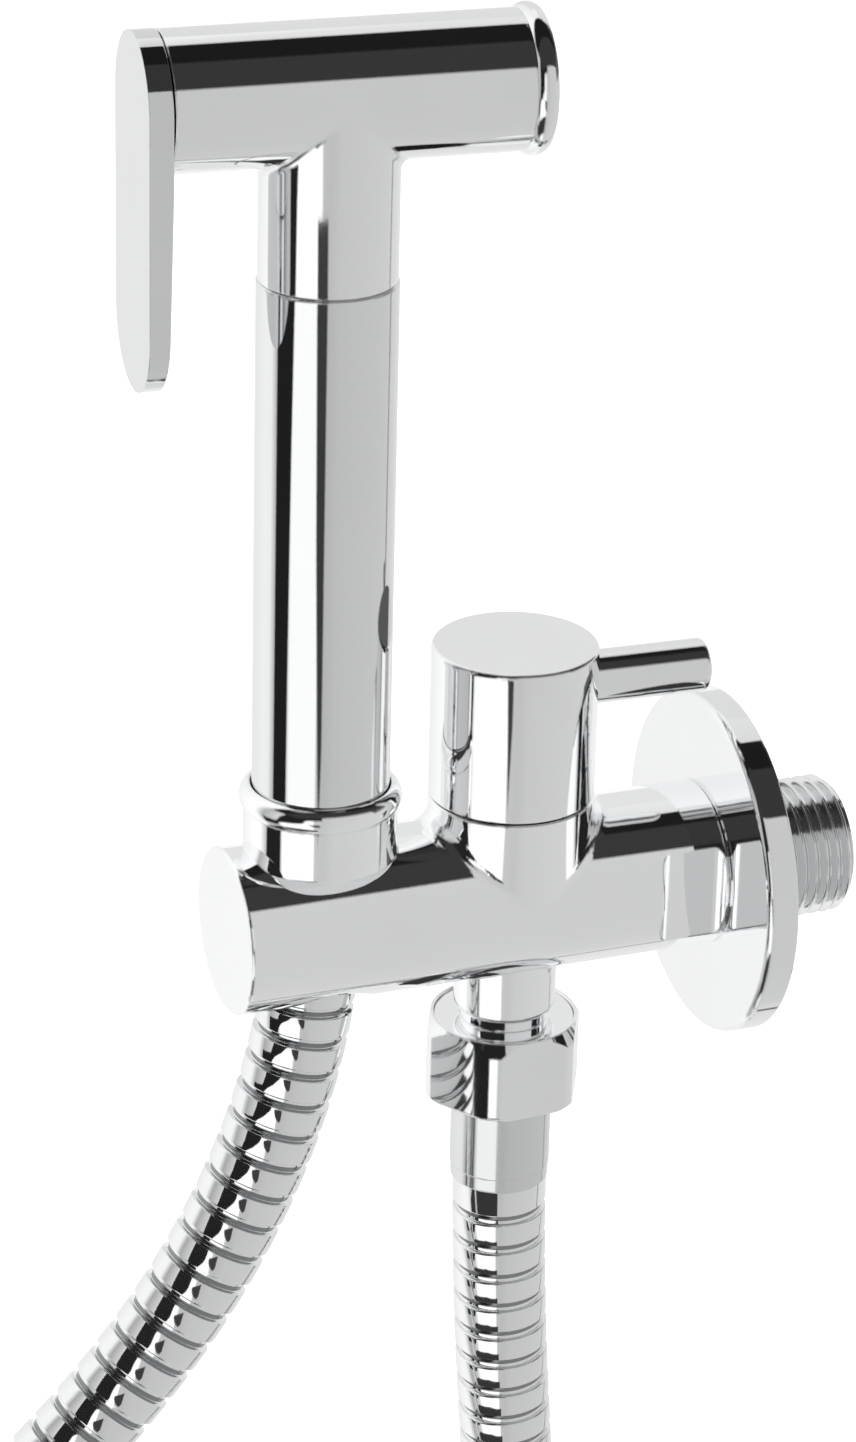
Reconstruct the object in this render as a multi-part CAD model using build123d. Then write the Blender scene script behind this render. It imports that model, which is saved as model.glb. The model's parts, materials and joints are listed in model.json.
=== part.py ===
from build123d import *
import os
from math import cos, pi, radians, sin, sqrt, tan

# A wall-mounted bidet shower: one round brass body carries a quarter-turn valve with a lever knob,
# a cup that holds the trigger handset, and a hose that hangs in a loop from the outlet under the
# valve to the lower end of the handle.
# Millimetres. The origin is on the inlet's axis at the wall, +Y goes into the wall, +Z is up.

# Fits and seams
THREAD_FIT = 0.03      # radial clearance of two screwed pieces, whose threads are drawn plain
RUNNING_FIT = 0.06     # radial clearance of a shaft that turns or slides in its hole
FACE_FIT = 0.05        # gap between two flat faces that slide on each other
SEAM_GAP = 0.25        # open seam between two visible pieces that turn against each other
LOOSE_GAP = 0.3        # clearance round a piece that only has to miss its neighbour
SEAM_CHAMFER = 0.2     # broken edge on both sides of a closed seam

# Inlet nipple, with the G 1/2 thread that screws into the wall
PIPE_THREAD_R = 10.4775
INLET_TAIL = 16.9
INLET_TAIL_CHAMFER = 1.1
NIPPLE_BORE_R = 6.0
NIPPLE_NECK_R = 9.4
NIPPLE_ROOT_R = 8.4
NIPPLE_ROOT_LENGTH = 9.0
KEY_ACROSS = 12.6
KEY_DEPTH = 9.0

# Rosette that covers the hole in the wall
ROSETTE_R = 26.0
ROSETTE_DEPTH = 4.6
ROSETTE_WALL = 1.0
ROSETTE_EDGE_R = 1.0
ROSETTE_HOLE_GAP = 0.15

# Valve body: a horizontal bar with a tower for the valve and a cup for the handset
BODY_R = 12.4
CUP_TO_FRONT = 14.4
BODY_FRONT_EDGE = 0.25
BODY_REAR_CHAMFER = 0.4
WRENCH_FLAT = 10.2
WRENCH_COLLAR = 0.6    # full round left between the flats and the rosette
WRENCH_LENGTH = 10.0
WRENCH_CORNER_R = 1.5
VALVE_REACH = 35.2
TOWER_R = 12.24
TOWER_TOP = 16.0
TOWER_BLEND = 2.5
CUP_REACH = 64.9
CUP_WALL = 1.08
CUP_FOOT = 10.8        # underside of the cup, which stands out over both flanks of the bar
CUP_FOOT_EDGE_R = 0.4
CUP_FLOOR = 12.0
CUP_TOP = 18.7
CUP_NECK_WALL = 0.7
HOSE_HOLE_GAP = 0.45
HOSE_RELIEF_GAP = 2.15
HOSE_RELIEF_TOP = 0.0
HANDLE_FIT = 0.15      # radial clearance of the handle in its cup

# Waterways in the body
CHAMBER_R = 9.5
CHAMBER_FLOOR = -3.0
INLET_WAY_R = 5.2
PORT_R = 4.2

# Outlet under the valve
SPIGOT_R = 7.62
SPIGOT_END = -18.8
SPIGOT_EDGE_R = 0.8
OUTLET_NECK_R = 6.6
OUTLET_TOP = -20.5
OUTLET_LENGTH = 7.5

# Sleeve of the cup, which ends in a bead above it
SLEEVE_DEPTH = 6.0
SLEEVE_WALL = 0.55
BEAD_TOP = 22.1
BEAD_WIDEST = 19.7
BEAD_STANDS = 0.57
BEAD_LIP = 0.2
BEAD_BULGE = 0.8        # how far the bead has swelled halfway up to its widest, as a share
BEAD_CROWN = 0.35       # shares that set how full the slope above the widest place is
BEAD_CROWN_R = 0.75

# Valve headwork with its two ceramic discs
SEAT_SEAL_R = 7.0
SEAT_SEAL_HEIGHT = 2.0
DISC_R = 7.0
DISC_HEIGHT = 2.6
DISC_PORT_INNER_R = 1.6
DISC_PORT_HALF_ANGLE = 38.0
CAGE_WALL = 1.1
CAGE_TOP = 7.5
WINDOW_LOW = 1.4
WINDOW_WIDTH = 8.0
HEADWORK_NUT_ACROSS = 17.0
HEADWORK_NUT_HEIGHT = 5.0
HEADWORK_NECK_WALL = 2.0
HEADWORK_TOP = 24.0
HEADWORK_RING_DROP = 2.6
CORD_RING_R = 0.8      # half the thickness of the O-rings

# Spindle
SPINDLE_R = 3.9
SPINDLE_FOOT_HEIGHT = 1.6
TONGUE_WIDTH = 2.4
TONGUE_LENGTH = 9.0
TONGUE_DEPTH = 1.2
TONGUE_PLAY = 0.2
SPLINE_TEETH = 20
SPLINE_DEPTH = 0.45
SPLINE_FIT = 0.1
SPINDLE_TOP = 36.0
CLIP_R = 5.4
CLIP_HEIGHT = 0.9
CLIP_GROOVE_DEPTH = 0.6
CLIP_MOUTH = 5.4

# Knob with its lever
KNOB_R = 12.24
KNOB_TOP = 39.6
KNOB_EDGE_R = 0.7
KNOB_WALL = 1.7
KNOB_HOLLOW_TOP = 27.5
SPLINE_LEAD = 0.5       # length of the splines below the knob's hole
LEVER_R = 4.0
LEVER_Z = 32.85
LEVER_REACH = 29.6
LEVER_END_R = 1.0
LEVER_SEAT = 11.2
STUD_R = 3.0
STUD_INNER_END = 7.6
GRUB_OUTER_END = 7.3
GRUB_INNER_END = 4.1
GRUB_KEY_ACROSS = 2.5
GRUB_KEY_DEPTH = 1.6
KNOB_TURN = 2.4        # the lever points this many degrees off the wall, towards +X

# Hose nut under the outlet
NUT_ACROSS = 22.0
NUT_CORNER_R = 12.25
NUT_TOP = -20.2
NUT_BOTTOM = -32.75
NUT_TOP_FACE_R = 10.95
NUT_TOP_CHAMFER = 2.0
NUT_BOTTOM_CHAMFER = 0.8
NUT_CORNER_ANGLE = -27.0
WASHER_R = 9.3
WASHER_HEIGHT = 2.0
FLANGE_R = 9.6
FLANGE_HEIGHT = 1.5

# Hose and its crimped ends
HOSE_R = 7.15
HOSE_BORE_R = 4.0
HOSE_GROOVE = 0.75
HOSE_RIBS = 60
GROOVE_FLOOR = 0.18    # as a share of the pitch, like the next
GROOVE_FLANK = 0.12
FERRULE_WALL = 0.37
FERRULE_FIT = 0.04
FERRULE_BOTTOM = -47.5
FERRULE_LIP = 2.2      # length of the slightly narrower end
FERRULE_LIP_STEP = 0.15
HOSE_START = -35.5
BARB_FIT = 0.1
BARB_LENGTH = 9.5
BARB_COUNT = 4
BARB_STEP = 0.4
INSERT_BORE_R = 2.9

# Handset: handle, head, spray face
HANDLE_R = 10.0
HANDLE_TOP = 98.1
HANDLE_SEAT_Z = 27.0
HANDLE_SEAT_HEIGHT = 4.0
HANDLE_WATERWAY_R = 5.0
HANDLE_WALL = 2.0
HANDLE_CONE = 2.0       # height of the cones at both ends of the hollow
HANDLE_RECESS_WALL = 1.0
HANDLE_SPIGOT_LENGTH = 7.4
HANDLE_FOOT_CHAMFER = 0.4
HANDSET_WASHER_HEIGHT = 1.5
HANDSET_WASHER_BORE_R = 4.5
SWIVEL_FLANGE_GAP = 0.4
SWIVEL_FLANGE_HEIGHT = 1.5
SWIVEL_NUT_HEIGHT = 6.5
SWIVEL_SLOT = 2.0
HOSE_END_FERRULE_LIFT = 0.55
HOSE_END = 21.5
HEAD_STEP = 0.1        # the head is this much slimmer than the handle, and its neck twice that
NECK_RISE = 26.66
NECK_BLEND = 1.4
NECK_WATERWAY_R = 5.5
RIM_START = 26.4
RIM_END = 29.33
RIM_STANDS = 0.7
RIM_END_STANDS = 0.2
RIM_SLEEVE_R = 8.5
RIM_SLEEVE_LENGTH = 5.8
RIM_SLEEVE_BORE_R = 6.9
RIM_RECESS = 3.4
RIM_WIDEST = 0.62       # place of the rim's widest ring, as a share of its length
RIM_WASHER_HEIGHT = 1.0
FACE_R = 8.0
FACE_HEIGHT = 2.9
FACE_EDGE = 0.5
NOZZLE_R = 0.45
NOZZLE_RINGS = ((1, 0.0), (6, 2.9), (12, 5.7))
HANDSET_TURN = 4.35    # the handset stands turned this many degrees in its cup

# Valve in the head, which the trigger pulls open
CHAMBER_BACK = -12.2
HEAD_CHAMBER_R = 7.0
SEAT_PLACE = 9.0
SEAT_HEIGHT = 4.0
SEAT_RING_R = 7.7
SEAT_PORT_R = 3.6
SEAT_LIP = 0.8
SEAT_SLOT = 2.2
PLUG_R = 5.4
PLUG_HEIGHT = 2.8
PLUG_SEAL_HEIGHT = 1.0
PLUG_SEAL_STEP = 0.2
STEM_R = 2.0
STEM_NECK_R = 1.1
BALL_R = 1.7
STEM_SHOULDER_GAP = 0.4
GLAND_DEPTH = 2.0
GLAND_PLAY = 0.2
SPRING_R = 4.2
SPRING_WIRE = 0.9
SPRING_COILS = 5
SPRING_WASHER_R = 5.4
SPRING_WASHER_HEIGHT = 0.8

# Trigger plate, its hinge pin and its pull block
HEAD_BACK = -23.9
PLATE_FRONT = -27.57
PLATE_TOP_THICKNESS = 3.37
PLATE_FOOT_THICKNESS = 2.7
PLATE_STANDS = 0.05
PLATE_DROP = 40.56
POCKET_R = 8.2
POCKET_END = -16.7
TRIGGER_TRAVEL = 10.0
PIN_R = 0.8
PIN_PLACE = -22.6
PIN_DROP = 6.6
LUG_R = 1.5
LUG_HALF_WIDTH = 2.4
PIN_BURIED = 1.6
BLOCK_SIDE = 1.8
PRONG_THICKNESS = 1.5
BLOCK_TOP = 2.6
BLOCK_FLOOR = 1.2
BLOCK_ROOT = 0.5       # how far the block and the lug reach into the plate

# Places that follow from the sizes above
VALVE_Y = -VALVE_REACH
CUP_Y = -CUP_REACH
FRONT_Y = CUP_Y - CUP_TO_FRONT
ROSETTE_FRONT = -ROSETTE_DEPTH
CUP_BORE_R = HANDLE_R + HANDLE_FIT
CUP_R = CUP_BORE_R + CUP_WALL
SLEEVE_R = CUP_BORE_R + SLEEVE_WALL
SLEEVE_FOOT = CUP_TOP - SLEEVE_DEPTH
BEAD_R = CUP_R + BEAD_STANDS
HOSE_HOLE_R = HOSE_R + HOSE_HOLE_GAP
HOSE_RELIEF_R = HOSE_R + HOSE_RELIEF_GAP
CUP_NECK_R = HOSE_HOLE_R + CUP_NECK_WALL
OUTLET_END = OUTLET_TOP - OUTLET_LENGTH
FLANGE_TOP = OUTLET_END - WASHER_HEIGHT
FLANGE_BOTTOM = FLANGE_TOP - FLANGE_HEIGHT
FERRULE_BORE_R = HOSE_R + FERRULE_FIT
FERRULE_R = FERRULE_BORE_R + FERRULE_WALL
BARB_R = HOSE_BORE_R - BARB_FIT
FIXED_DISC_LOW = CHAMBER_FLOOR + SEAT_SEAL_HEIGHT
MOVING_DISC_LOW = FIXED_DISC_LOW + DISC_HEIGHT + FACE_FIT
FOOT_LOW = MOVING_DISC_LOW + DISC_HEIGHT
FOOT_TOP = FOOT_LOW + SPINDLE_FOOT_HEIGHT
CAGE_BORE_R = DISC_R + LOOSE_GAP / 2
CAGE_R = CAGE_BORE_R + CAGE_WALL
HEADWORK_RING_Z = TOWER_TOP - HEADWORK_RING_DROP
SPINDLE_RING_Z = (CAGE_TOP + TOWER_TOP) / 2
KNOB_BOTTOM = TOWER_TOP + SEAM_GAP
SPLINE_LOW = KNOB_HOLLOW_TOP - SPLINE_LEAD
HANDLE_BOTTOM = CUP_FLOOR + FACE_FIT
HANDLE_RECESS_R = HANDLE_R - HANDLE_RECESS_WALL
HANDLE_SPIGOT_R = HANDLE_R - HANDLE_WALL
SWIVEL_FLANGE_R = HANDLE_RECESS_R - SWIVEL_FLANGE_GAP
HOSE_END_FERRULE_BOTTOM = HANDLE_BOTTOM + HOSE_END_FERRULE_LIFT
HEAD_R = HANDLE_R - HEAD_STEP
NECK_R = HEAD_R - HEAD_STEP
HEAD_Z = HANDLE_TOP + NECK_RISE
RIM_R = HEAD_R + RIM_STANDS
RIM_END_R = HEAD_R + RIM_END_STANDS
PLATE_R = HEAD_R + PLATE_STANDS
PLATE_BOTTOM = HEAD_Z - PLATE_DROP
SWIVEL_FLANGE_TOP = HANDLE_SEAT_Z - HANDSET_WASHER_HEIGHT - FACE_FIT
SWIVEL_FLANGE_LOW = SWIVEL_FLANGE_TOP - SWIVEL_FLANGE_HEIGHT
SWIVEL_NUT_TOP = SWIVEL_FLANGE_LOW - FACE_FIT
PLATE_BACK = PLATE_FRONT + PLATE_TOP_THICKNESS
BALL_PLACE = PLATE_BACK + BALL_R + LOOSE_GAP
PRONG_PLACE = BALL_PLACE + BALL_R + LOOSE_GAP
PRONG_END = PRONG_PLACE + PRONG_THICKNESS
PIN_Z = HEAD_Z - PIN_DROP
PLUG_BACK = SEAT_PLACE - FACE_FIT - PLUG_SEAL_HEIGHT - PLUG_HEIGHT
SLEEVE_IN_HEAD = RIM_START - RIM_SLEEVE_LENGTH
FRONT_BORE_R = RIM_SLEEVE_R + THREAD_FIT
FRONT_BORE_LOW = SLEEVE_IN_HEAD - RIM_WASHER_HEIGHT

# Route of the hose's centre line as (y, z), in the plane x = 0: down and round from inside the handle,
# with y counted from the cup's axis, then up to the outlet, with y counted from the valve's axis.
# Nearly twelve millimetres at each end lie crimped between ferrule and insert.
HANDLE_SIDE = (
    (0.0, HOSE_END), (0.0, -4.5), (-5.1, -30.5), (-16.1, -55.0), (-32.6, -77.0), (-54.1, -97.0),
    (-78.6, -122.0), (-101.1, -155.0), (-118.6, -197.0), (-129.6, -246.0), (-134.6, -299.0),
    (-133.6, -350.0), (-124.1, -391.0), (-103.1, -419.0), (-73.6, -437.0), (-39.6, -442.0),
)
OUTLET_SIDE = (
    (-36.3, -433.5), (-9.3, -412.5), (7.2, -383.0), (11.2, -342.0), (10.7, -288.0), (9.7, -226.0),
    (7.2, -166.0), (3.7, -109.5), (0.0, -61.5), (0.0, HOSE_START),
)
HOSE_ROUTE = [(CUP_Y + y, z) for y, z in HANDLE_SIDE] + [(VALVE_Y + y, z) for y, z in OUTLET_SIDE]


def drum(radius, low, high, y=0.0):
    """Upright cylinder from z = low to z = high."""
    return Pos(0, y, low) * Cylinder(radius, high - low, align=(Align.CENTER, Align.CENTER, Align.MIN))


def ring(outer, inner, low, high, y=0.0):
    """Upright tube."""
    return drum(outer, low, high, y) - drum(inner, low - 1, high + 1, y)


def bar(radius, near, far, z=0.0):
    """Cylinder along Y from y = near to y = far."""
    lying = Cylinder(radius, far - near, align=(Align.CENTER, Align.CENTER, Align.MIN))
    return Pos(0, near, z) * Rot(-90, 0, 0) * lying


def hexagon(across, low, high, turn=0.0):
    """Upright hexagonal prism, with a corner at the angle turn."""
    outline = RegularPolygon(across / sqrt(3), 6)
    return Pos(0, 0, low) * extrude(Rot(0, 0, turn) * outline, high - low)


def turned(*lines):
    """Solid of revolution about Z from the closed outline that the lines make in r and z."""
    outline = Curve() + list(lines)
    return revolve(Plane.XZ * make_face(outline), Axis.Z)


def profile(*points):
    """Solid of revolution about Z from the corner points (r, z) of its outline."""
    return revolve(Plane.XZ * make_face(Polyline(*points, close=True)), Axis.Z)


def along_head(shape):
    """Puts a shape made about Z on the head's axis, its z counted forwards from the handle."""
    return Pos(0, CUP_Y, HEAD_Z) * Rot(-90, 0, 0) * shape


def about(y, angle, shape):
    """Turns a shape about the upright line through (0, y)."""
    return Pos(0, y, 0) * Rot(0, 0, angle) * Pos(0, -y, 0) * shape


def o_ring(inner, y=0.0, z=0.0):
    """O-ring as it sits squeezed in its groove: an eight-sided section that touches the inner radius."""
    centre = inner + CORD_RING_R
    flat = CORD_RING_R * tan(pi / 8)
    section = [
        (centre + across, up)
        for across, up in (
            (flat, -CORD_RING_R), (CORD_RING_R, -flat), (CORD_RING_R, flat), (flat, CORD_RING_R),
            (-flat, CORD_RING_R), (-CORD_RING_R, flat), (-CORD_RING_R, -flat), (-flat, -CORD_RING_R),
        )
    ]
    return Pos(0, y, z) * profile(*section)


def cord_groove(outer, inner, z):
    """Groove for an O-ring, which fills its height."""
    return ring(outer, inner, z - CORD_RING_R, z + CORD_RING_R)


def on_knob(shape):
    """Places a piece that turns with the knob, made about Z with the lever along +Y, on the valve."""
    return Pos(0, VALVE_Y, 0) * Rot(0, 0, -KNOB_TURN) * shape


def sector(inner, outer, half_angle, turn, low, high):
    """Upright ring sector, centred on the direction turn."""
    a, b = radians(turn - half_angle), radians(turn + half_angle)
    middle = radians(turn)
    outline = (
        Line((inner * cos(a), inner * sin(a)), (outer * cos(a), outer * sin(a)))
        + ThreePointArc(
            (outer * cos(a), outer * sin(a)),
            (outer * cos(middle), outer * sin(middle)),
            (outer * cos(b), outer * sin(b)),
        )
        + Line((outer * cos(b), outer * sin(b)), (inner * cos(b), inner * sin(b)))
        + ThreePointArc(
            (inner * cos(b), inner * sin(b)),
            (inner * cos(middle), inner * sin(middle)),
            (inner * cos(a), inner * sin(a)),
        )
    )
    return Pos(0, 0, low) * extrude(make_face(outline), high - low)


def splined(root, depth, low, high):
    """Splined shaft: pointed teeth that stand up by depth from the root radius."""
    step = 2 * pi / SPLINE_TEETH
    points = []
    for tooth in range(SPLINE_TEETH):
        start = tooth * step
        points.append((root * cos(start), root * sin(start)))
        crest = start + step / 2
        points.append(((root + depth) * cos(crest), (root + depth) * sin(crest)))
    return Pos(0, 0, low) * extrude(make_face(Polyline(*points, close=True)), high - low)


def inlet_nipple():
    tail = bar(PIPE_THREAD_R, 0, INLET_TAIL)
    tail = chamfer(tail.edges().group_by(Axis.Y)[-1], INLET_TAIL_CHAMFER)
    root = bar(NIPPLE_ROOT_R, ROSETTE_FRONT - NIPPLE_ROOT_LENGTH, 0) + bar(NIPPLE_NECK_R, ROSETTE_FRONT, 0)
    bore = bar(NIPPLE_BORE_R, ROSETTE_FRONT - NIPPLE_ROOT_LENGTH - 1, INLET_TAIL + 1)
    key = Pos(0, INLET_TAIL - KEY_DEPTH, 0) * Rot(-90, 0, 0) * hexagon(KEY_ACROSS, 0, KEY_DEPTH + 1)
    return tail + root - bore - key


def wall_rosette():
    plate = bar(ROSETTE_R, ROSETTE_FRONT, 0)
    plate = fillet(plate.edges().group_by(Axis.Y)[0], ROSETTE_EDGE_R)
    hollow = bar(ROSETTE_R - ROSETTE_WALL, ROSETTE_FRONT + ROSETTE_WALL, 1)
    hole = bar(PIPE_THREAD_R + ROSETTE_HOLE_GAP, ROSETTE_FRONT - 1, 1)
    return plate - hollow - hole


def wrench_cut():
    """Milling cut for the spanner flat on the +X side, with the round corners that the cutter leaves."""
    block = Box(BODY_R, WRENCH_LENGTH, 3 * BODY_R, align=(Align.MIN, Align.MAX, Align.CENTER))
    corners = block.edges().filter_by(Axis.Z).group_by(Axis.X)[0]
    return Pos(WRENCH_FLAT, ROSETTE_FRONT - WRENCH_COLLAR, 0) * fillet(corners, WRENCH_CORNER_R)


def body_shell():
    """Outside of the body: bar, tower with its blend, spanner flats, and the cup on its short neck."""
    beam = bar(BODY_R, FRONT_Y, ROSETTE_FRONT)
    beam = chamfer(beam.edges().group_by(Axis.Y)[0], BODY_FRONT_EDGE)
    beam = chamfer(beam.edges().group_by(Axis.Y)[-1], BODY_REAR_CHAMFER)
    joined = beam + drum(TOWER_R, 0, TOWER_TOP, VALVE_Y)
    joined = fillet(joined.edges().filter_by(GeomType.BSPLINE), TOWER_BLEND)
    joined = chamfer(joined.edges().group_by(Axis.Z)[-1], SEAM_CHAMFER)
    joined -= wrench_cut()
    joined -= mirror(wrench_cut(), about=Plane.YZ)
    cup = drum(CUP_R, CUP_FOOT, CUP_TOP, CUP_Y)
    cup = fillet(cup.edges().group_by(Axis.Z)[0], CUP_FOOT_EDGE_R)
    return joined + cup + drum(CUP_NECK_R, 0, CUP_FLOOR, CUP_Y)


def outlet_stub():
    """Spigot, recessed neck and the plain cylinder of the outlet's pipe thread."""
    spigot = drum(SPIGOT_R, SPIGOT_END, 0, VALVE_Y)
    spigot = fillet(spigot.edges().group_by(Axis.Z)[0], SPIGOT_EDGE_R)
    neck = drum(OUTLET_NECK_R, OUTLET_TOP, SPIGOT_END, VALVE_Y)
    end = chamfer(drum(PIPE_THREAD_R, OUTLET_END, OUTLET_TOP, VALVE_Y).edges(), SEAM_CHAMFER)
    return spigot + neck + end


def valve_body():
    body = body_shell() + outlet_stub()
    body -= drum(CHAMBER_R, CHAMBER_FLOOR, TOWER_TOP + 1, VALVE_Y)
    body -= drum(PORT_R, OUTLET_END - 1, 0, VALVE_Y)
    body -= bar(INLET_WAY_R, VALVE_Y, 0)
    body -= bar(NIPPLE_ROOT_R + THREAD_FIT, ROSETTE_FRONT - NIPPLE_ROOT_LENGTH - FACE_FIT, 0)
    body -= drum(HOSE_HOLE_R, -BODY_R - 1, CUP_FLOOR + 1, CUP_Y)
    body -= drum(HOSE_RELIEF_R, -BODY_R - 1, HOSE_RELIEF_TOP, CUP_Y)
    body -= drum(CUP_BORE_R, CUP_FLOOR, CUP_TOP + 1, CUP_Y)
    body -= drum(SLEEVE_R + THREAD_FIT, SLEEVE_FOOT, CUP_TOP + 1, CUP_Y)
    return body


def socket_sleeve():
    """Liner in the cup, whose bead covers the cup's edge and slopes inwards at its top."""
    lip_r = CUP_BORE_R + BEAD_LIP
    swell = (CUP_R + BEAD_BULGE * BEAD_STANDS, (CUP_TOP + BEAD_WIDEST) / 2)
    slope = (
        lip_r + BEAD_CROWN_R * (BEAD_R - lip_r),
        BEAD_TOP - BEAD_CROWN * (BEAD_TOP - BEAD_WIDEST),
    )
    outline = (
        Line((CUP_BORE_R, SLEEVE_FOOT), (SLEEVE_R, SLEEVE_FOOT)),
        Line((SLEEVE_R, SLEEVE_FOOT), (SLEEVE_R, CUP_TOP)),
        Line((SLEEVE_R, CUP_TOP), (CUP_R, CUP_TOP)),
        ThreePointArc((CUP_R, CUP_TOP), swell, (BEAD_R, BEAD_WIDEST)),
        ThreePointArc((BEAD_R, BEAD_WIDEST), slope, (lip_r, BEAD_TOP)),
        Line((lip_r, BEAD_TOP), (CUP_BORE_R, BEAD_TOP - BEAD_LIP)),
        Line((CUP_BORE_R, BEAD_TOP - BEAD_LIP), (CUP_BORE_R, SLEEVE_FOOT)),
    )
    return Pos(0, CUP_Y, 0) * turned(*outline)


def headwork_body():
    """Screwed brass housing: cage with two windows, threaded collar and a hexagon above the tower."""
    cage = ring(CAGE_R, CAGE_BORE_R, FIXED_DISC_LOW, CAGE_TOP)
    for turn in (90, 270):
        height = CAGE_TOP - WINDOW_LOW - 1
        window = Box(CAGE_R * 2, WINDOW_WIDTH, height, align=(Align.MIN, Align.CENTER, Align.MIN))
        cage -= Rot(0, 0, turn) * Pos(0, 0, WINDOW_LOW) * window
    collar = drum(CHAMBER_R - THREAD_FIT, CAGE_TOP, TOWER_TOP)
    collar -= cord_groove(CHAMBER_R + 1, CHAMBER_R - 2 * CORD_RING_R, HEADWORK_RING_Z)
    top = hexagon(HEADWORK_NUT_ACROSS, TOWER_TOP, TOWER_TOP + HEADWORK_NUT_HEIGHT)
    neck = drum(SPINDLE_R + HEADWORK_NECK_WALL, TOWER_TOP, HEADWORK_TOP)
    housing = cage + collar + top + neck
    housing -= drum(SPINDLE_R + RUNNING_FIT, CAGE_TOP - 1, HEADWORK_TOP + 1)
    return Pos(0, VALVE_Y, 0) * housing


def headwork_o_ring():
    return o_ring(CHAMBER_R - 2 * CORD_RING_R, VALVE_Y, HEADWORK_RING_Z)


def seat_seal():
    return ring(SEAT_SEAL_R, PORT_R, CHAMBER_FLOOR, FIXED_DISC_LOW, VALVE_Y)


def fixed_disc():
    top = FIXED_DISC_LOW + DISC_HEIGHT
    disc = drum(DISC_R, FIXED_DISC_LOW, top)
    for turn in (0, 180):
        disc -= sector(DISC_PORT_INNER_R, PORT_R, DISC_PORT_HALF_ANGLE, turn, FIXED_DISC_LOW - 1, top + 1)
    return Pos(0, VALVE_Y, 0) * disc


def moving_disc():
    """Disc with two open bays, which lie across the fixed disc's ports while the valve is shut."""
    low, high = MOVING_DISC_LOW - 1, FOOT_LOW + 1
    disc = drum(DISC_R, MOVING_DISC_LOW, FOOT_LOW)
    for turn in (90, 270):
        disc -= sector(DISC_PORT_INNER_R, DISC_R + 1, DISC_PORT_HALF_ANGLE, turn, low, high)
    groove = Box(TONGUE_LENGTH + TONGUE_PLAY, TONGUE_WIDTH + TONGUE_PLAY, 2 * TONGUE_DEPTH)
    disc -= Pos(0, 0, FOOT_LOW) * groove
    return on_knob(disc)


def spindle():
    foot = drum(DISC_R - LOOSE_GAP, FOOT_LOW, FOOT_TOP)
    for turn in (90, 270):
        foot -= sector(SPINDLE_R, DISC_R + 1, DISC_PORT_HALF_ANGLE, turn, FOOT_LOW - 1, FOOT_TOP + 1)
    tongue = Pos(0, 0, FOOT_LOW) * Box(
        TONGUE_LENGTH, TONGUE_WIDTH, TONGUE_DEPTH, align=(Align.CENTER, Align.CENTER, Align.MAX)
    )
    shaft = drum(SPINDLE_R, FOOT_LOW, SPLINE_LOW)
    shaft -= cord_groove(SPINDLE_R + 1, SPINDLE_R - 2 * CORD_RING_R, SPINDLE_RING_Z)
    clip_low = HEADWORK_TOP + FACE_FIT
    shaft -= ring(SPINDLE_R + 1, SPINDLE_R - CLIP_GROOVE_DEPTH, clip_low, clip_low + CLIP_HEIGHT)
    splines = splined(SPINDLE_R - SPLINE_DEPTH, SPLINE_DEPTH, SPLINE_LOW, SPINDLE_TOP)
    return on_knob(foot + tongue + shaft + splines)


def spindle_o_ring():
    return o_ring(SPINDLE_R - 2 * CORD_RING_R, VALVE_Y, SPINDLE_RING_Z)


def spindle_clip():
    """Open retaining ring that keeps the spindle from sliding down."""
    clip_low = HEADWORK_TOP + FACE_FIT
    clip = ring(CLIP_R, SPINDLE_R - CLIP_GROOVE_DEPTH, clip_low, clip_low + CLIP_HEIGHT)
    mouth = Box(CLIP_R * 2, CLIP_MOUTH, CLIP_HEIGHT * 4, align=(Align.MIN, Align.CENTER, Align.CENTER))
    return on_knob(clip - Pos(0, 0, clip_low) * mouth)


def knob():
    cap = drum(KNOB_R, KNOB_BOTTOM, KNOB_TOP)
    cap = fillet(cap.edges().group_by(Axis.Z)[-1], KNOB_EDGE_R)
    cap = chamfer(cap.edges().group_by(Axis.Z)[0], SEAM_CHAMFER)
    cap -= drum(KNOB_R - KNOB_WALL, KNOB_BOTTOM - 1, KNOB_HOLLOW_TOP)
    hole_r = SPINDLE_R - SPLINE_DEPTH + SPLINE_FIT
    cap -= splined(hole_r, SPLINE_DEPTH, KNOB_HOLLOW_TOP - 1, SPINDLE_TOP + LOOSE_GAP)
    cap -= bar(STUD_R + THREAD_FIT, 0, LEVER_SEAT + 1, LEVER_Z)
    cap -= bar(LEVER_R + THREAD_FIT, LEVER_SEAT, KNOB_R + 1, LEVER_Z)
    return on_knob(cap)


def knob_lever():
    rod = bar(LEVER_R, LEVER_SEAT, LEVER_REACH, LEVER_Z)
    rod = fillet(rod.edges().group_by(Axis.Y)[-1], LEVER_END_R)
    return on_knob(rod + bar(STUD_R, STUD_INNER_END, LEVER_SEAT, LEVER_Z))


def knob_screw():
    """Grub screw under the lever's stud, which clamps the knob on the spindle."""
    screw = bar(STUD_R, GRUB_INNER_END, GRUB_OUTER_END, LEVER_Z)
    key = Rot(-90, 0, 0) * hexagon(GRUB_KEY_ACROSS, 0, GRUB_KEY_DEPTH + 1)
    return on_knob(screw - Pos(0, GRUB_OUTER_END - GRUB_KEY_DEPTH, LEVER_Z) * key)


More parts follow.
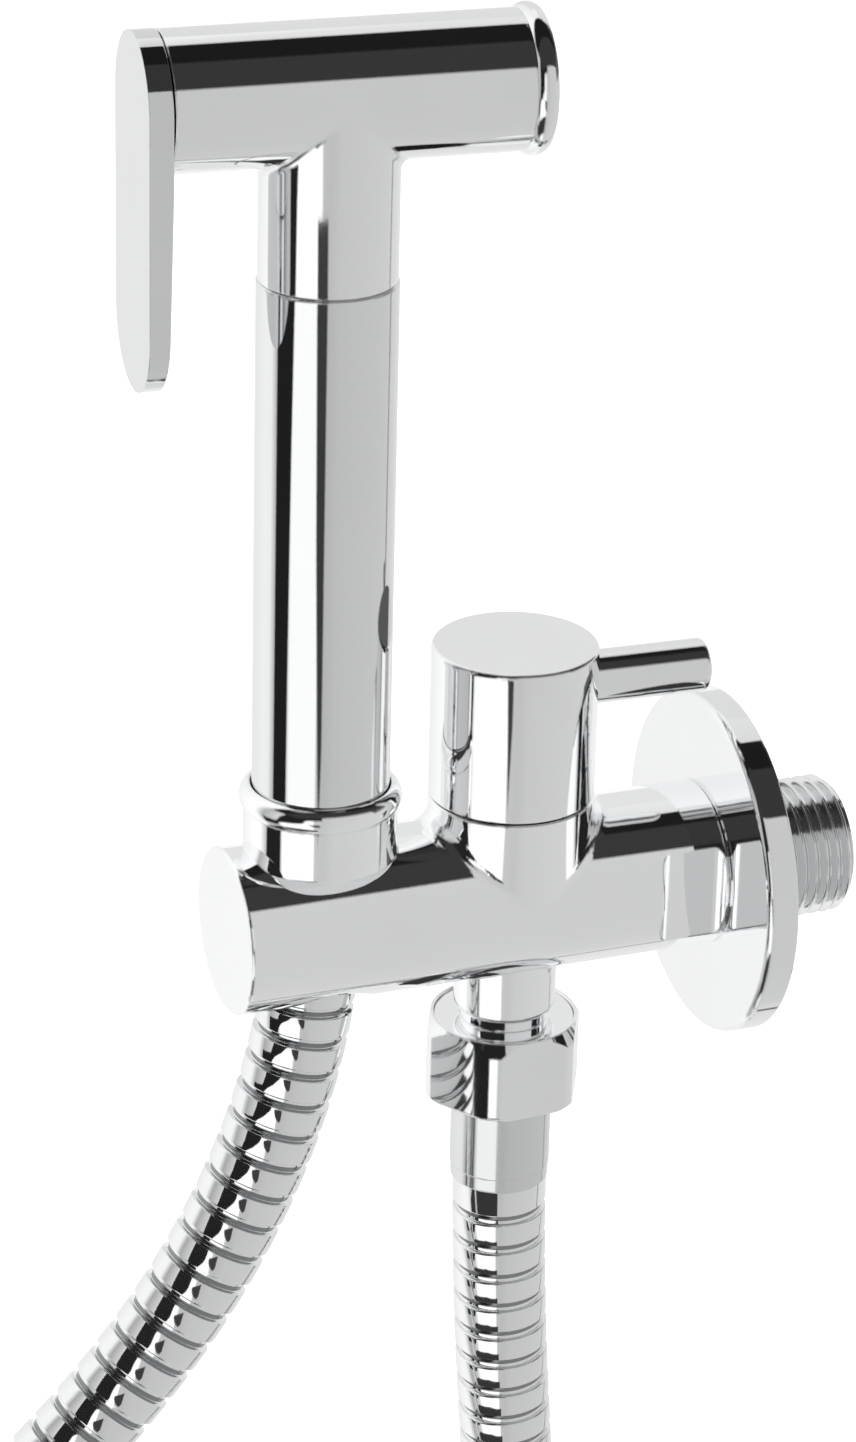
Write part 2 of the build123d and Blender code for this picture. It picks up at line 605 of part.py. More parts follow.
def hose_nut():
    """Hexagon nut with turned ends, whose lower lip carries the flange of the hose."""
    prism = hexagon(NUT_ACROSS, NUT_BOTTOM, NUT_TOP, NUT_CORNER_ANGLE)
    low_edge = NUT_BOTTOM + NUT_BOTTOM_CHAMFER
    foot_r = NUT_CORNER_R - NUT_BOTTOM_CHAMFER
    blank = turned(
        Line((0, NUT_BOTTOM), (foot_r, NUT_BOTTOM)),
        TangentArc((foot_r, NUT_BOTTOM), (NUT_CORNER_R, low_edge), tangent=(1, 0)),
        Line((NUT_CORNER_R, low_edge), (NUT_CORNER_R, NUT_TOP - NUT_TOP_CHAMFER)),
        Line((NUT_CORNER_R, NUT_TOP - NUT_TOP_CHAMFER), (NUT_TOP_FACE_R, NUT_TOP)),
        Line((NUT_TOP_FACE_R, NUT_TOP), (0, NUT_TOP)),
        Line((0, NUT_TOP), (0, NUT_BOTTOM)),
    )
    nut = prism & blank
    nut -= drum(PIPE_THREAD_R + THREAD_FIT, FLANGE_BOTTOM, NUT_TOP + 1)
    nut -= drum(FERRULE_R + LOOSE_GAP / 2, NUT_BOTTOM - 1, FLANGE_BOTTOM + 1)
    return Pos(0, VALVE_Y, 0) * nut


def hose_washer():
    return ring(WASHER_R, PORT_R, FLANGE_TOP, OUTLET_END, VALVE_Y)


def insert(flange_r, flange_top, flange_low, hose_face):
    """Hose insert about Z: flange, collar, and barbs that go down into the hose."""
    solid = drum(flange_r, flange_low, flange_top)
    solid += drum(FERRULE_BORE_R - THREAD_FIT, hose_face, flange_low)
    step = BARB_LENGTH / BARB_COUNT
    for number in range(BARB_COUNT):
        wide = hose_face - step * number
        narrow = wide - step
        solid += profile((0, narrow), (BARB_R - BARB_STEP, narrow), (BARB_R, wide), (0, wide))
    return solid - drum(INSERT_BORE_R, hose_face - BARB_LENGTH - 1, flange_top + 1)


def hose_insert():
    return Pos(0, VALVE_Y, 0) * insert(FLANGE_R, FLANGE_TOP, FLANGE_BOTTOM, HOSE_START)


def ferrule(low):
    """Crimped sleeve round the hose's end at the outlet, with a slightly narrower lower lip."""
    lip_r = FERRULE_R - FERRULE_LIP_STEP
    return profile(
        (FERRULE_BORE_R, low), (lip_r - SEAM_CHAMFER / 2, low), (lip_r, low + SEAM_CHAMFER),
        (lip_r, low + FERRULE_LIP), (FERRULE_R, low + FERRULE_LIP + FERRULE_LIP_STEP),
        (FERRULE_R, FLANGE_BOTTOM), (FERRULE_BORE_R, FLANGE_BOTTOM),
    )


def outlet_ferrule():
    return Pos(0, VALVE_Y, 0) * ferrule(FERRULE_BOTTOM)


def hose_end_insert():
    return Pos(0, CUP_Y, 0) * insert(SWIVEL_FLANGE_R, SWIVEL_FLANGE_TOP, SWIVEL_FLANGE_LOW, HOSE_END)


def hose_end_ferrule():
    sleeve = ring(FERRULE_R, FERRULE_BORE_R, HOSE_END_FERRULE_BOTTOM, SWIVEL_FLANGE_LOW)
    outer_edge = sleeve.edges().group_by(Axis.Z)[0].sort_by(SortBy.LENGTH)[-1]
    return Pos(0, CUP_Y, 0) * chamfer(outer_edge, SEAM_CHAMFER)


def route_radii():
    """Bend radius at each inner point of the route: the largest that its two runs allow."""
    radii = []
    for before, here, after in zip(HOSE_ROUTE, HOSE_ROUTE[1:], HOSE_ROUTE[2:]):
        run_in = Vector(0, here[0] - before[0], here[1] - before[1])
        run_out = Vector(0, after[0] - here[0], after[1] - here[1])
        half_turn = radians(run_in.get_angle(run_out)) / 2
        radii.append(0.45 * min(run_in.length, run_out.length) / tan(half_turn))
    return radii


def shower_hose():
    """Metal hose: plain crimped ends, raised bands with grooves between them, and the bore."""
    radii = route_radii()
    path = FilletPolyline(*[(0, y, z) for y, z in HOSE_ROUTE], radius=radii)
    straight_end = 2 * HOSE_R
    pitch = (path.length - 2 * straight_end) / HOSE_RIBS
    stations = [(0.0, HOSE_R)]
    for rib in range(HOSE_RIBS):
        start = straight_end + rib * pitch
        stations.append((start, HOSE_R))
        stations.append((start + GROOVE_FLANK * pitch, HOSE_R - HOSE_GROOVE))
        stations.append((start + (GROOVE_FLANK + GROOVE_FLOOR) * pitch, HOSE_R - HOSE_GROOVE))
        stations.append((start + (2 * GROOVE_FLANK + GROOVE_FLOOR) * pitch, HOSE_R))
    stations.append((path.length - straight_end, HOSE_R))
    stations.append((path.length, HOSE_R))
    sections = []
    for distance, radius in stations:
        place = path.position_at(distance, position_mode=PositionMode.LENGTH)
        heading = path.tangent_at(distance, position_mode=PositionMode.LENGTH)
        sections.append(Plane(place, x_dir=(1, 0, 0), z_dir=heading) * Circle(radius))
    outside = loft(sections, ruled=True)
    start_plane = Plane(path @ 0, x_dir=(1, 0, 0), z_dir=path % 0)
    bore = sweep(start_plane * Circle(HOSE_BORE_R), path=path)
    print("bend radii:", [round(r) for r in radii], "least", round(min(radii), 1))
    print("hose length:", round(path.length, 1), "mm, rib pitch:", round(pitch, 2), "mm")
    plain_volume = pi * HOSE_BORE_R**2 * path.length
    print("bore volume over section times length:", round(bore.volume / plain_volume, 5))
    return outside - bore


def on_handset(shape):
    """Turns a handset piece, made with its head along Y, to the way that it stands in the cup."""
    return about(CUP_Y, -HANDSET_TURN, shape)


def swivel_nut():
    """Ring nut in the foot of the handle, on which the flange of the hose turns."""
    low = SWIVEL_NUT_TOP - SWIVEL_NUT_HEIGHT
    nut = ring(HANDLE_RECESS_R - THREAD_FIT, FERRULE_R + RUNNING_FIT, low, SWIVEL_NUT_TOP)
    nut -= Pos(0, 0, low) * Box(2 * HANDLE_R, SWIVEL_SLOT, SWIVEL_SLOT)
    return on_handset(Pos(0, CUP_Y, 0) * nut)


def handset_washer():
    low = SWIVEL_FLANGE_TOP + FACE_FIT
    return on_handset(ring(SWIVEL_FLANGE_R, HANDSET_WASHER_BORE_R, low, HANDLE_SEAT_Z, CUP_Y))


def handle_tube():
    inner_r = HANDLE_R - HANDLE_WALL
    hollow_low = HANDLE_SEAT_Z + HANDLE_SEAT_HEIGHT
    hollow_top = HANDLE_TOP - HANDLE_SEAT_HEIGHT
    top = HANDLE_TOP + HANDLE_SPIGOT_LENGTH
    tube = profile(
        (HANDLE_RECESS_R, HANDLE_BOTTOM), (HANDLE_R - HANDLE_FOOT_CHAMFER, HANDLE_BOTTOM),
        (HANDLE_R, HANDLE_BOTTOM + HANDLE_FOOT_CHAMFER),
        (HANDLE_R, HANDLE_TOP - SEAM_CHAMFER), (HANDLE_R - SEAM_CHAMFER, HANDLE_TOP),
        (HANDLE_SPIGOT_R, HANDLE_TOP), (HANDLE_SPIGOT_R, top), (NECK_WATERWAY_R, top),
        (NECK_WATERWAY_R, hollow_top), (inner_r, hollow_top - HANDLE_CONE),
        (inner_r, hollow_low + HANDLE_CONE), (HANDLE_WATERWAY_R, hollow_low),
        (HANDLE_WATERWAY_R, HANDLE_SEAT_Z), (HANDLE_RECESS_R, HANDLE_SEAT_Z),
    )
    return on_handset(Pos(0, CUP_Y, 0) * tube)


def head_body():
    """T-shaped brass head: neck, barrel, valve chamber and the pocket behind the trigger plate."""
    head = along_head(drum(HEAD_R, HEAD_BACK, RIM_START)) + drum(NECK_R, HANDLE_TOP, HEAD_Z, CUP_Y)
    head = fillet(head.edges().filter_by(GeomType.BSPLINE), NECK_BLEND)
    head = chamfer(head.edges().group_by(Axis.Z)[0], SEAM_CHAMFER)
    head -= along_head(drum(POCKET_R, HEAD_BACK - 1, POCKET_END))
    head -= along_head(drum(STEM_R + RUNNING_FIT, POCKET_END - 1, CHAMBER_BACK + 1))
    gland_r = STEM_R + 2 * CORD_RING_R + GLAND_PLAY
    head -= along_head(drum(gland_r, CHAMBER_BACK - GLAND_DEPTH, CHAMBER_BACK + 1))
    head -= along_head(drum(HEAD_CHAMBER_R, CHAMBER_BACK, SEAT_PLACE + 1))
    head -= along_head(drum(SEAT_RING_R + THREAD_FIT, SEAT_PLACE, FRONT_BORE_LOW + 1))
    head -= along_head(drum(FRONT_BORE_R, FRONT_BORE_LOW, RIM_START + 1))
    spigot_top = HANDLE_TOP + HANDLE_SPIGOT_LENGTH + LOOSE_GAP
    head -= drum(HANDLE_SPIGOT_R + THREAD_FIT, HANDLE_TOP - 1, spigot_top, CUP_Y)
    head -= drum(NECK_WATERWAY_R, HANDLE_TOP, HEAD_Z, CUP_Y)
    head -= hinge_slot() + pin_hole() + trigger_relief()
    return on_handset(head)


def hinge_slot():
    """Slot in the floor of the pocket, in which the lug of the trigger plate turns."""
    length = PIN_PLACE + LUG_R + LOOSE_GAP - HEAD_BACK
    depth = PIN_DROP + LUG_R + LOOSE_GAP
    width = 2 * (LUG_HALF_WIDTH + LOOSE_GAP)
    slot = Box(width, length + 1, depth, align=(Align.CENTER, Align.MIN, Align.MAX))
    return Pos(0, CUP_Y + HEAD_BACK - 1, HEAD_Z) * slot


def pin_seat_end():
    """Distance from the middle at which the pin's hole ends, inside the head's round flank."""
    return sqrt(HEAD_R**2 - PIN_DROP**2) - PIN_BURIED / 2


def pin_hole():
    """Cross hole for the hinge pin, open on the side away from +X."""
    length = pin_seat_end() + HEAD_R
    hole = Cylinder(PIN_R + THREAD_FIT, length, align=(Align.CENTER, Align.CENTER, Align.MIN))
    return Pos(-HEAD_R, CUP_Y + PIN_PLACE, PIN_Z) * Rot(0, 90, 0) * hole


def trigger_relief():
    """Wedge cut off the head's lower back edge, so that the plate can swing in."""
    start = PIN_Z - PIN_R / 2
    depth = start - (HEAD_Z - HEAD_R) + 1
    wedge = Plane.YZ * make_face(
        Polyline(
            (CUP_Y + HEAD_BACK, start),
            (CUP_Y + HEAD_BACK + depth * tan(radians(TRIGGER_TRAVEL)), start - depth),
            (CUP_Y + HEAD_BACK, start - depth),
            close=True,
        )
    )
    return extrude(wedge, HEAD_R + 1, both=True)


def hinge_pin():
    end = pin_seat_end()
    low = -end - PIN_BURIED / 4
    pin = Cylinder(PIN_R, end - FACE_FIT - low, align=(Align.CENTER, Align.CENTER, Align.MIN))
    return on_handset(Pos(low, CUP_Y + PIN_PLACE, PIN_Z) * Rot(0, 90, 0) * pin)


def valve_seat():
    """Screwed ring with a raised lip round its port, on which the plug closes."""
    lip_r = SEAT_PORT_R + SEAT_LIP
    ring_low = SEAT_PLACE + SEAT_LIP
    top = SEAT_PLACE + SEAT_HEIGHT
    seat = profile(
        (SEAT_PORT_R, SEAT_PLACE), (lip_r, SEAT_PLACE), (lip_r + SEAT_LIP / 2, ring_low),
        (SEAT_RING_R, ring_low), (SEAT_RING_R, top), (SEAT_PORT_R, top),
    )
    slot = Pos(0, 0, top) * Box(2 * SEAT_RING_R, SEAT_SLOT, SEAT_SLOT)
    return on_handset(along_head(seat - slot))


def spray_rim():
    """Chrome ring round the spray face, with the sleeve that screws into the head."""
    recess = RIM_END - RIM_RECESS
    widest = (RIM_R, RIM_START + RIM_WIDEST * (RIM_END - RIM_START))
    ring_outline = (
        Line((RIM_SLEEVE_BORE_R, SLEEVE_IN_HEAD), (RIM_SLEEVE_R, SLEEVE_IN_HEAD)),
        Line((RIM_SLEEVE_R, SLEEVE_IN_HEAD), (RIM_SLEEVE_R, RIM_START)),
        Line((RIM_SLEEVE_R, RIM_START), (HEAD_R - SEAM_CHAMFER, RIM_START)),
        ThreePointArc((HEAD_R - SEAM_CHAMFER, RIM_START), widest, (RIM_END_R, RIM_END)),
        Line((RIM_END_R, RIM_END), (FACE_R + LOOSE_GAP, RIM_END)),
        Line((FACE_R + LOOSE_GAP, RIM_END), (FACE_R + FACE_FIT, RIM_END - LOOSE_GAP)),
        Line((FACE_R + FACE_FIT, RIM_END - LOOSE_GAP), (FACE_R + FACE_FIT, recess)),
        Line((FACE_R + FACE_FIT, recess), (RIM_SLEEVE_BORE_R, recess)),
        Line((RIM_SLEEVE_BORE_R, recess), (RIM_SLEEVE_BORE_R, SLEEVE_IN_HEAD)),
    )
    return on_handset(along_head(turned(*ring_outline)))


def rim_washer():
    return on_handset(along_head(ring(RIM_SLEEVE_R, RIM_SLEEVE_BORE_R, FRONT_BORE_LOW, SLEEVE_IN_HEAD)))


def spray_face():
    """Plate with a bevelled edge and rings of nozzle holes."""
    low = RIM_END - RIM_RECESS
    plate = chamfer(drum(FACE_R, low, low + FACE_HEIGHT).edges().group_by(Axis.Z)[-1], FACE_EDGE)
    for count, place in NOZZLE_RINGS:
        for number in range(count):
            turn = 2 * pi * number / count
            plate -= Pos(place * cos(turn), place * sin(turn), 0) * drum(NOZZLE_R, low - 1, RIM_END + 1)
    return on_handset(along_head(plate))


def stem_o_ring():
    place = CHAMBER_BACK - CORD_RING_R - 2 * FACE_FIT
    return on_handset(along_head(o_ring(STEM_R + RUNNING_FIT, 0, place)))


def spring_washer():
    washer = ring(SPRING_WASHER_R, STEM_R + LOOSE_GAP, CHAMBER_BACK, CHAMBER_BACK + SPRING_WASHER_HEIGHT)
    return on_handset(along_head(washer))


def return_spring():
    """Square-wire spring between its washer and the back of the plug."""
    low = CHAMBER_BACK + SPRING_WASHER_HEIGHT + 2 * FACE_FIT + SPRING_WIRE / 2
    high = PLUG_BACK - 2 * FACE_FIT - SPRING_WIRE / 2
    coil = Helix((high - low) / SPRING_COILS, high - low, SPRING_R)
    wire = Plane(coil @ 0, x_dir=(1, 0, 0), z_dir=coil % 0) * Rectangle(SPRING_WIRE, SPRING_WIRE)
    return on_handset(along_head(Pos(0, 0, low) * sweep(wire, path=coil, is_frenet=True)))


def valve_stem():
    """Plug and stem in one, with the ball that the trigger's block pulls on."""
    neck_start = PRONG_END + STEM_SHOULDER_GAP
    stem = drum(PLUG_R, PLUG_BACK, PLUG_BACK + PLUG_HEIGHT)
    stem += drum(STEM_R, neck_start, PLUG_BACK)
    stem += drum(STEM_NECK_R, BALL_PLACE, neck_start)
    stem += Pos(0, 0, BALL_PLACE) * Sphere(BALL_R)
    return on_handset(along_head(stem))


def plug_seal():
    low = PLUG_BACK + PLUG_HEIGHT
    return on_handset(along_head(drum(PLUG_R - PLUG_SEAL_STEP, low, low + PLUG_SEAL_HEIGHT)))


def trigger_plate():
    """Plate over the head's end that reaches down as the trigger, with its hinge lug and pull block."""
    middle = HEAD_Z
    foot = PLATE_BOTTOM + PLATE_R
    outline = (
        ThreePointArc((-PLATE_R, middle), (0, middle + PLATE_R), (PLATE_R, middle))
        + Line((PLATE_R, middle), (PLATE_R, foot))
        + ThreePointArc((PLATE_R, foot), (0, PLATE_BOTTOM), (-PLATE_R, foot))
        + Line((-PLATE_R, foot), (-PLATE_R, middle))
    )
    front = CUP_Y + PLATE_FRONT
    front_plane = Plane((0, front, 0), x_dir=(1, 0, 0), z_dir=(0, -1, 0))
    slab = extrude(front_plane * make_face(outline), -PLATE_TOP_THICKNESS)
    bend = HEAD_Z - HEAD_R
    lean = PLATE_TOP_THICKNESS - PLATE_FOOT_THICKNESS
    back = front + PLATE_TOP_THICKNESS
    wedge = make_face(
        Polyline(
            (back, bend), (back - lean, PLATE_BOTTOM), (back - lean, PLATE_BOTTOM - 1),
            (back + 1, PLATE_BOTTOM - 1), (back + 1, bend), close=True,
        )
    )
    slab -= extrude(Plane.YZ * wedge, PLATE_R + 1, both=True)
    return on_handset(slab + pull_block() + hinge_lug())


def pull_block():
    """Block behind the plate with a T-shaped slot, open at the top, for the ball and neck of the stem."""
    wide = BALL_R + LOOSE_GAP
    narrow = STEM_NECK_R + LOOSE_GAP
    floor = HEAD_Z - wide
    back = CUP_Y + PLATE_BACK
    length = PRONG_END - PLATE_BACK
    height = BLOCK_TOP + wide
    centred = (Align.CENTER, Align.MIN, Align.MIN)
    block = Box(2 * (wide + BLOCK_SIDE), length + BLOCK_ROOT, height + BLOCK_FLOOR, align=centred)
    ball_way = Box(2 * wide, PRONG_PLACE - PLATE_BACK, height + 1, align=centred)
    neck_way = Box(2 * narrow, length + 1, height + 1, align=centred)
    block = Pos(0, back - BLOCK_ROOT, floor - BLOCK_FLOOR) * block
    return block - Pos(0, back, floor) * ball_way - Pos(0, back, floor) * neck_way


def hinge_lug():
    """Lug under the pull block, bored for the hinge pin."""
    back = CUP_Y + PLATE_BACK
    pin_y = CUP_Y + PIN_PLACE
    reach = PIN_PLACE - PLATE_BACK + BLOCK_ROOT
    height = HEAD_Z - BALL_R - LOOSE_GAP - BLOCK_FLOOR / 2 - PIN_Z
    width = 2 * LUG_HALF_WIDTH
    web = Box(width, reach + LUG_R, height, align=(Align.CENTER, Align.MIN, Align.MIN))
    root = Box(width, reach, LUG_R, align=(Align.CENTER, Align.MIN, Align.MAX))
    eye = Pos(0, pin_y, PIN_Z) * Rot(0, 90, 0) * Cylinder(LUG_R, width)
    hole = Pos(0, pin_y, PIN_Z) * Rot(0, 90, 0) * Cylinder(PIN_R + RUNNING_FIT, 2 * width)
    return Pos(0, back - BLOCK_ROOT, PIN_Z) * (web + root) + eye - hole


PIECES = (
    inlet_nipple, wall_rosette, valve_body, socket_sleeve, headwork_body, headwork_o_ring, seat_seal,
    fixed_disc, moving_disc, spindle, spindle_o_ring, spindle_clip, knob, knob_lever, knob_screw,
    hose_nut, hose_washer, hose_insert, outlet_ferrule, shower_hose, hose_end_insert, hose_end_ferrule,
    swivel_nut, handset_washer, handle_tube, head_body, hinge_pin, valve_seat, spray_rim, rim_washer,
    spray_face, stem_o_ring, spring_washer, return_spring, valve_stem, plug_seal, trigger_plate,
)

os.makedirs("parts", exist_ok=True)
for make in PIECES:
    export_step(make(), f"parts/{make.__name__}.step")
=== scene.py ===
import json
from math import cos, pi, radians, sin, tan, tau

import bpy
from mathutils import Matrix, Vector


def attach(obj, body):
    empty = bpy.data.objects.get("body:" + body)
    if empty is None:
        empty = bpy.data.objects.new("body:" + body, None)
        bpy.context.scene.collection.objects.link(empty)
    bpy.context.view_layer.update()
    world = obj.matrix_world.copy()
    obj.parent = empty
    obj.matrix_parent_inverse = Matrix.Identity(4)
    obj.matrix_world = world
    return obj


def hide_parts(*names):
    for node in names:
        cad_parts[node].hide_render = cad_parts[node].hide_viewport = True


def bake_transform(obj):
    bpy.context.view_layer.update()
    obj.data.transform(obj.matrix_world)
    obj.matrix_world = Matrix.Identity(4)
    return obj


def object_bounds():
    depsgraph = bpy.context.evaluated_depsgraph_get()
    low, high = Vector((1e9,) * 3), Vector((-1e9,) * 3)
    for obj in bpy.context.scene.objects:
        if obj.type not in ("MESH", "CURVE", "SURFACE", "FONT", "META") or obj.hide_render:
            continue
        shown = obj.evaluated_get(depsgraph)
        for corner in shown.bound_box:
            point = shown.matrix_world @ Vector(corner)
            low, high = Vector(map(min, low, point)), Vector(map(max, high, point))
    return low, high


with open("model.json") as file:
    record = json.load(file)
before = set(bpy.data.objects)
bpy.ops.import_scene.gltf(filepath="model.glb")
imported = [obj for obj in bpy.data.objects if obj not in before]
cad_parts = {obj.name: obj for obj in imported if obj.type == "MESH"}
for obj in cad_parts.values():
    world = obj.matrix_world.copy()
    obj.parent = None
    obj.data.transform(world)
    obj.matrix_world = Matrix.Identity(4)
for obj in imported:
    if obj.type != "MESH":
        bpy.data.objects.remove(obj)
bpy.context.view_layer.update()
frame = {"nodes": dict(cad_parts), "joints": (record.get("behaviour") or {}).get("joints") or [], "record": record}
scene = bpy.context.scene
nodes = frame["nodes"]
joints = {joint["name"]: joint for joint in frame["joints"]}
MM = 0.001
SHARP_ANGLE = radians(50)

# Camera: the photograph's view, with the frame's long side upright
CAMERA_AZIMUTH = 68.47
CAMERA_ELEVATION = 24.13
CAMERA_ROLL = 1.40
CAMERA_DISTANCE = 0.700
CAMERA_TARGET = Vector((0.0, -0.0485, 0.02905))
CAMERA_LENS = 120.96
CAMERA_SENSOR = 36.0
CAMERA_NEAREST = 0.01

# Hose: the route of its centre line in metres, as (y, z) in the plane x = 0
HOSE_R = 7.15 * MM
HOSE_ROUTE = (
    (-0.0649, 0.0215), (-0.0649, -0.0045), (-0.0700, -0.0305), (-0.0810, -0.0550),
    (-0.0975, -0.0770), (-0.1190, -0.0970), (-0.1435, -0.1220), (-0.1660, -0.1550),
    (-0.1835, -0.1970), (-0.1945, -0.2460), (-0.1995, -0.2990), (-0.1985, -0.3500),
    (-0.1890, -0.3910), (-0.1680, -0.4190), (-0.1385, -0.4370), (-0.1045, -0.4420),
    (-0.0715, -0.4335), (-0.0445, -0.4125), (-0.0280, -0.3830), (-0.0240, -0.3420),
    (-0.0245, -0.2880), (-0.0255, -0.2260), (-0.0280, -0.1660), (-0.0315, -0.1095),
    (-0.0352, -0.0615), (-0.0352, -0.0355),
)
HOSE_ROUTE_STEPS = 24
HOSE_SIDES = 36
PLAIN_AT_HANDLE = 14.5 * MM
PLAIN_AT_OUTLET = 16.2 * MM
BAND_PITCH = 5.06 * MM
BAND_DEPTH = 0.9 * MM
FIRST_RIM_LENGTH = 0.02 * MM
LAST_RIM_LENGTH = 0.2 * MM
LAST_RIM_DEPTH = 0.12 * BAND_DEPTH
# Faces of the hose at least this deep in a groove get the dark material: painted shade
GROOVE_SHADE_DEPTH = 0.71 * BAND_DEPTH

# One band of the hose, from the handle towards the outlet: share of the pitch, and depth below the
# outside as a share of the deepest place. The raised band ends in a lip, and a rounded groove
# follows, which climbs to the sharp rim of the next band.
BAND = (
    (0.000, 0.16), (0.012, 0.03), (0.040, 0.0), (0.640, 0.0), (0.680, 0.05),
    (0.697, 0.22), (0.702, 0.66), (0.730, 0.70), (0.800, 0.72), (0.860, 0.80),
    (0.900, 0.96), (0.930, 1.0), (0.960, 0.92), (0.985, 0.62),
)

# Inlet nipple with its G 1/2 thread, which a plain cylinder stands for in the CAD model
THREAD_R = 10.4775 * MM
THREAD_PITCH = 1.814 * MM
THREAD_DEPTH = 1.162 * MM
TAIL_END = 16.9 * MM
TAIL_CHAMFER = 1.1 * MM
TAIL_START = -0.02 * MM
NECK_R = 9.4 * MM
ROOT_R = 8.4 * MM
ROSETTE_FRONT = -4.6 * MM
ROOT_END = -13.6 * MM
BORE_R = 6.0 * MM
KEY_ACROSS = 12.6 * MM
KEY_FLOOR = 7.9 * MM
NIPPLE_SIDES = 72
RINGS_PER_TURN = 16

# Head of the handset, which stands turned in its cup: its centre lies on the handle's axis
HEAD_AXIS = Vector(joints["stem_slide"]["axis"])
HEAD_SIDE = Vector(joints["trigger_squeeze"]["axis"])
HEAD_HEIGHT = 124.76 * MM
HEAD_CENTRE = Vector((*joints["handset_turn"]["pos_m"][:2], HEAD_HEIGHT))

# Return spring: its reach is how far its first and last turn lie from the head's centre
SPRING_REACH = (-10.847 * MM, 4.597 * MM)
SPRING_R = 4.2 * MM
SPRING_WIRE_R = 0.45 * MM
SPRING_OPEN_TURNS = 5.0
SPRING_CLOSED_TURNS = 0.8
SPRING_CLOSED_PITCH = 0.94 * MM
SPRING_STEPS = 24
SPRING_SIDES = 10

# Noises of the surfaces: large clouds and fine grain on metal, mottle on rubber, plastic and ceramic
CLOUD_SCALE = 55.0
CLOUD_DETAIL = 3.0
CLOUD_DARKEST = 0.965
GRAIN_SCALE = 900.0
GRAIN_DETAIL = 2.0
GRAIN_HEIGHT = 0.02 * MM
MOTTLE_SCALE = 400.0
MOTTLE_DETAIL = 4.0
MOTTLE_DARKEST = 0.85
MOTTLE_LIGHTEST = 1.08
MOTTLE_STRENGTH = 0.3
MOTTLE_HEIGHT = 0.03 * MM
BEVEL_SAMPLES = 4


def link(obj):
    scene.collection.objects.link(obj)
    return obj


def mesh_piece(name, vertices, faces, material, smooth=True):
    mesh = bpy.data.meshes.new(name)
    mesh.from_pydata(vertices, [], faces)
    mesh.validate()
    for polygon in mesh.polygons:
        polygon.use_smooth = smooth
    mesh.materials.append(material)
    return link(bpy.data.objects.new(name, mesh))


def tube_piece(name, vertices, sides, material, closed=False):
    """Tube through rings of points. A closed one joins its last ring to its first, others get caps."""
    rings = len(vertices) // sides
    faces = []
    for ring in range(rings if closed else rings - 1):
        here = ring * sides
        ahead = (ring + 1) % rings * sides
        for side in range(sides):
            beside = (side + 1) % sides
            faces.append((here + side, here + beside, ahead + beside, ahead + side))
    if not closed:
        faces.append(tuple(reversed(range(sides))))
        faces.append(tuple((rings - 1) * sides + side for side in range(sides)))
    piece = mesh_piece(name, vertices, faces, material)
    piece.data.set_sharp_from_angle(angle=SHARP_ANGLE)
    return piece


def make_camera():
    a, e, roll = radians(CAMERA_AZIMUTH), radians(CAMERA_ELEVATION), radians(CAMERA_ROLL)
    forward = Vector((-sin(a) * cos(e), cos(a) * cos(e), -sin(e)))
    level_right = Vector((cos(a), sin(a), 0.0))
    level_up = level_right.cross(forward)
    right = level_right * cos(roll) + level_up * sin(roll)
    up = level_up * cos(roll) - level_right * sin(roll)
    data = bpy.data.cameras.new("camera")
    data.lens = CAMERA_LENS
    data.sensor_width = CAMERA_SENSOR
    data.clip_start = CAMERA_NEAREST
    camera = link(bpy.data.objects.new("camera", data))
    turned = Matrix((right, up, -forward)).transposed()
    place = CAMERA_TARGET - forward * CAMERA_DISTANCE
    camera.matrix_world = Matrix.Translation(place) @ turned.to_4x4()
    scene.camera = camera


class Nodes:
    """Short way to write a material's node tree."""

    def __init__(self, name):
        self.material = bpy.data.materials.new(name)
        self.material.use_nodes = True
        self.tree = self.material.node_tree
        self.shader = self.tree.nodes["Principled BSDF"]

    def add(self, kind, **values):
        node = self.tree.nodes.new(kind)
        for key, value in values.items():
            if hasattr(node, key):
                setattr(node, key, value)
            else:
                node.inputs[key.replace("_", " ").title()].default_value = value
        return node

    def join(self, output, target):
        self.tree.links.new(output, target)

    def noise(self, scale, detail):
        """Noise that stays with the object."""
        place = self.add("ShaderNodeTexCoord")
        noise = self.add("ShaderNodeTexNoise", scale=scale, detail=detail)
        self.join(place.outputs["Object"], noise.inputs["Vector"])
        return noise.outputs["Fac"]

    def tint(self, noise, colour, darkest, lightest=1.0):
        """Base colour that goes with the noise from darkest to lightest times the given one."""
        tone = self.add("ShaderNodeMix", data_type="RGBA")
        for side, share in (("A", darkest), ("B", lightest)):
            tone.inputs[side].default_value = (*[min(c * share, 1.0) for c in colour], 1.0)
        self.join(noise, tone.inputs["Factor"])
        self.join(tone.outputs["Result"], self.shader.inputs["Base Color"])

    def relief(self, noise, strength, height):
        """Fine uneven surface, as the noise goes."""
        bump = self.add("ShaderNodeBump", strength=strength, distance=height)
        self.join(noise, bump.inputs["Height"])
        self.join(bump.outputs["Normal"], self.shader.inputs["Normal"])
        return bump

    def glow(self, strength):
        """Even white glow."""
        self.shader.inputs["Emission Color"].default_value = (1.0, 1.0, 1.0, 1.0)
        self.shader.inputs["Emission Strength"].default_value = strength


